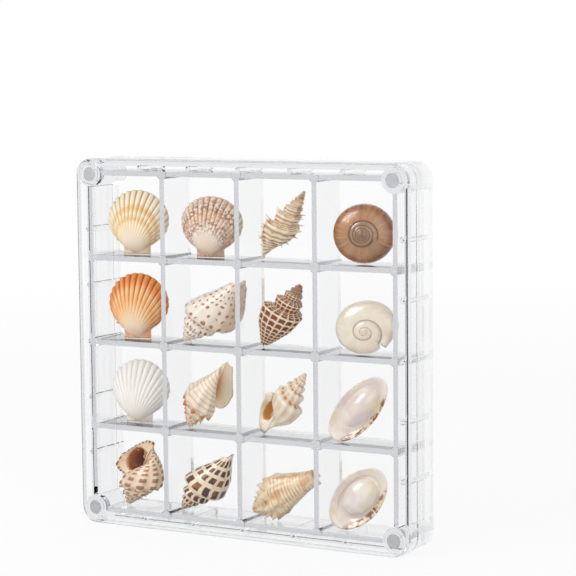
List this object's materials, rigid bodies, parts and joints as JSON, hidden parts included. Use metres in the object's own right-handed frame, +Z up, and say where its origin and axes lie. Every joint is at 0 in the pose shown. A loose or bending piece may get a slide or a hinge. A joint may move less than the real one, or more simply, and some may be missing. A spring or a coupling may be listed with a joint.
{
  "type": "shell display case",
  "caption": "Clear display case that stands upright: a tray, a divided insert with a sea shell in each cell, and a front cover held on by corner magnets.",
  "frame": {"origin": "middle of the case's lower edge, half way between its front and back faces", "axes": "+X to the right seen from the front, +Y from the front to the back, +Z up"},
  "size_m": [0.21, 0.032, 0.21],
  "materials": {
    "cover_plastic": "clear, polished",
    "tray_plastic": "clear, polished",
    "grid_plastic": "clear, polished",
    "magnet": "nickel plated",
    "cream_scallop": "natural shell, satin",
    "speckled_scallop": "natural shell, satin",
    "spiny_murex": "natural shell, satin",
    "brown_moon_snail": "natural shell, polished",
    "orange_scallop": "natural shell, satin",
    "spotted_conch": "natural shell, satin",
    "reticulated_whelk": "natural shell, satin",
    "pearl_moon_snail": "natural shell, polished",
    "white_scallop": "natural shell, satin",
    "peach_lipped_conch": "natural shell, satin",
    "spindle_whelk": "natural shell, satin",
    "blister_pearl_upper": "natural shell, polished",
    "open_murex": "natural shell, satin",
    "chocolate_volute": "natural shell, satin",
    "knobbed_conch": "natural shell, satin",
    "blister_pearl_lower": "natural shell, polished"
  },
  "bodies": {
    "case": {"back_tray": "tray_plastic", "divider_grid": "grid_plastic", "tray_magnet_top_left": "magnet", "tray_magnet_top_right": "magnet", "tray_magnet_bottom_left": "magnet", "tray_magnet_bottom_right": "magnet", "cream_scallop": "cream_scallop", "speckled_scallop": "speckled_scallop", "spiny_murex": "spiny_murex", "brown_moon_snail": "brown_moon_snail", "orange_scallop": "orange_scallop", "spotted_conch": "spotted_conch", "reticulated_whelk": "reticulated_whelk", "pearl_moon_snail": "pearl_moon_snail", "white_scallop": "white_scallop", "peach_lipped_conch": "peach_lipped_conch", "spindle_whelk": "spindle_whelk", "blister_pearl_upper": "blister_pearl_upper", "open_murex": "open_murex", "chocolate_volute": "chocolate_volute", "knobbed_conch": "knobbed_conch", "blister_pearl_lower": "blister_pearl_lower"},
    "cover": {"front_cover": "cover_plastic", "cover_magnet_top_left": "magnet", "cover_magnet_top_right": "magnet", "cover_magnet_bottom_left": "magnet", "cover_magnet_bottom_right": "magnet"}
  },
  "joints": [
    {"name": "cover_slide", "type": "slide", "parent": "case", "child": "cover", "axis": [0, -1, 0], "range_m": [0, 0.06]}
  ]
}
